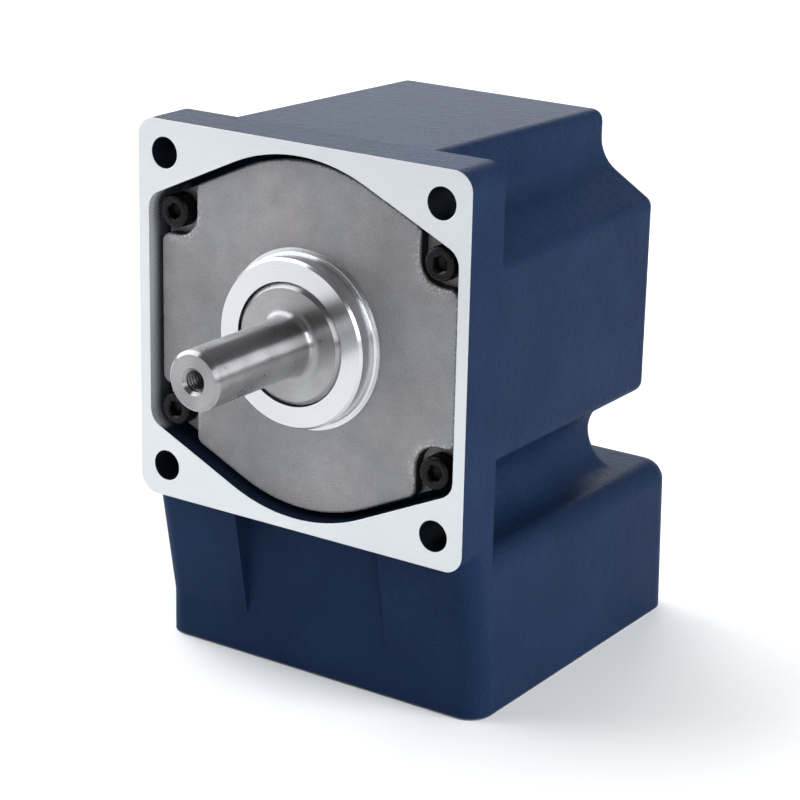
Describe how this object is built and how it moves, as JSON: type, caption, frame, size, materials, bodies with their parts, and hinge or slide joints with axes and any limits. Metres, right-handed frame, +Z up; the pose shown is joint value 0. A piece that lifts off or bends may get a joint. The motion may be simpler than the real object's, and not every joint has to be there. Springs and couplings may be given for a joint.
{
  "type": "right-angle gearhead",
  "caption": "Right-angle gearhead with a bevel and a spur gear stage, a square front plate with the output shaft and a square motor flange at a right angle to it.",
  "frame": {"origin": "centre of the motor face, which lies in the XY plane", "axes": "+Z up the motor's axis into the gearhead, -Y along the output shaft towards its tip, +X to the right seen from the output side"},
  "size_m": [0.08, 0.1203, 0.1146],
  "materials": {
    "casting_paint": "fine orange-peel satin paint",
    "cast_aluminium": "as cast, turned where it seats",
    "gasket": "matte",
    "black_oxide_steel": "black oxide",
    "seal_rubber": "matte",
    "bearing_steel": "ground",
    "ground_steel": "ground",
    "gear_steel": "cut and hardened"
  },
  "bodies": {
    "housing": {"gear_case": "casting_paint", "front_cover": "cast_aluminium", "cover_gasket": "gasket", "cover_screws": "black_oxide_steel", "output_oil_seal": "seal_rubber", "output_front_bearing_outer": "bearing_steel", "output_rear_bearing_outer": "bearing_steel", "cross_front_bearing_outer": "bearing_steel", "cross_rear_bearing_outer": "bearing_steel", "bearing_carrier": "cast_aluminium", "carrier_screws": "black_oxide_steel", "carrier_circlip": "black_oxide_steel", "pinion_upper_bearing_outer": "bearing_steel", "pinion_lower_bearing_outer": "bearing_steel"},
    "output": {"output_shaft": "ground_steel", "output_gear": "gear_steel", "output_gear_key": "gear_steel", "output_spacer": "ground_steel", "output_front_bearing_inner": "bearing_steel", "output_rear_bearing_inner": "bearing_steel"},
    "cross": {"cross_shaft": "gear_steel", "bevel_gear": "gear_steel", "bevel_gear_key": "gear_steel", "cross_spacer": "ground_steel", "cross_front_bearing_inner": "bearing_steel", "cross_rear_bearing_inner": "bearing_steel"},
    "pinion": {"pinion_shaft": "gear_steel", "input_gear": "gear_steel", "input_gear_key": "gear_steel", "input_gear_circlip": "black_oxide_steel", "pinion_spacer": "ground_steel", "pinion_upper_bearing_inner": "bearing_steel", "pinion_lower_bearing_inner": "bearing_steel"}
  },
  "joints": [
    {"name": "output_spin", "type": "hinge", "parent": "housing", "child": "output", "pos_m": [0, 0, 0.0746], "axis": [0, -1, 0], "continuous": true},
    {"name": "cross_spin", "type": "hinge", "parent": "housing", "child": "cross", "pos_m": [0, 0, 0.04835], "axis": [0, -1, 0], "continuous": true},
    {"name": "pinion_spin", "type": "hinge", "parent": "housing", "child": "pinion", "pos_m": [0, -0.0185, 0], "axis": [0, 0, 1], "continuous": true}
  ],
  "couplings": [
    {"joint": "cross_spin", "follows": "output_spin", "ratio": -2.5},
    {"joint": "pinion_spin", "follows": "output_spin", "ratio": 5}
  ]
}
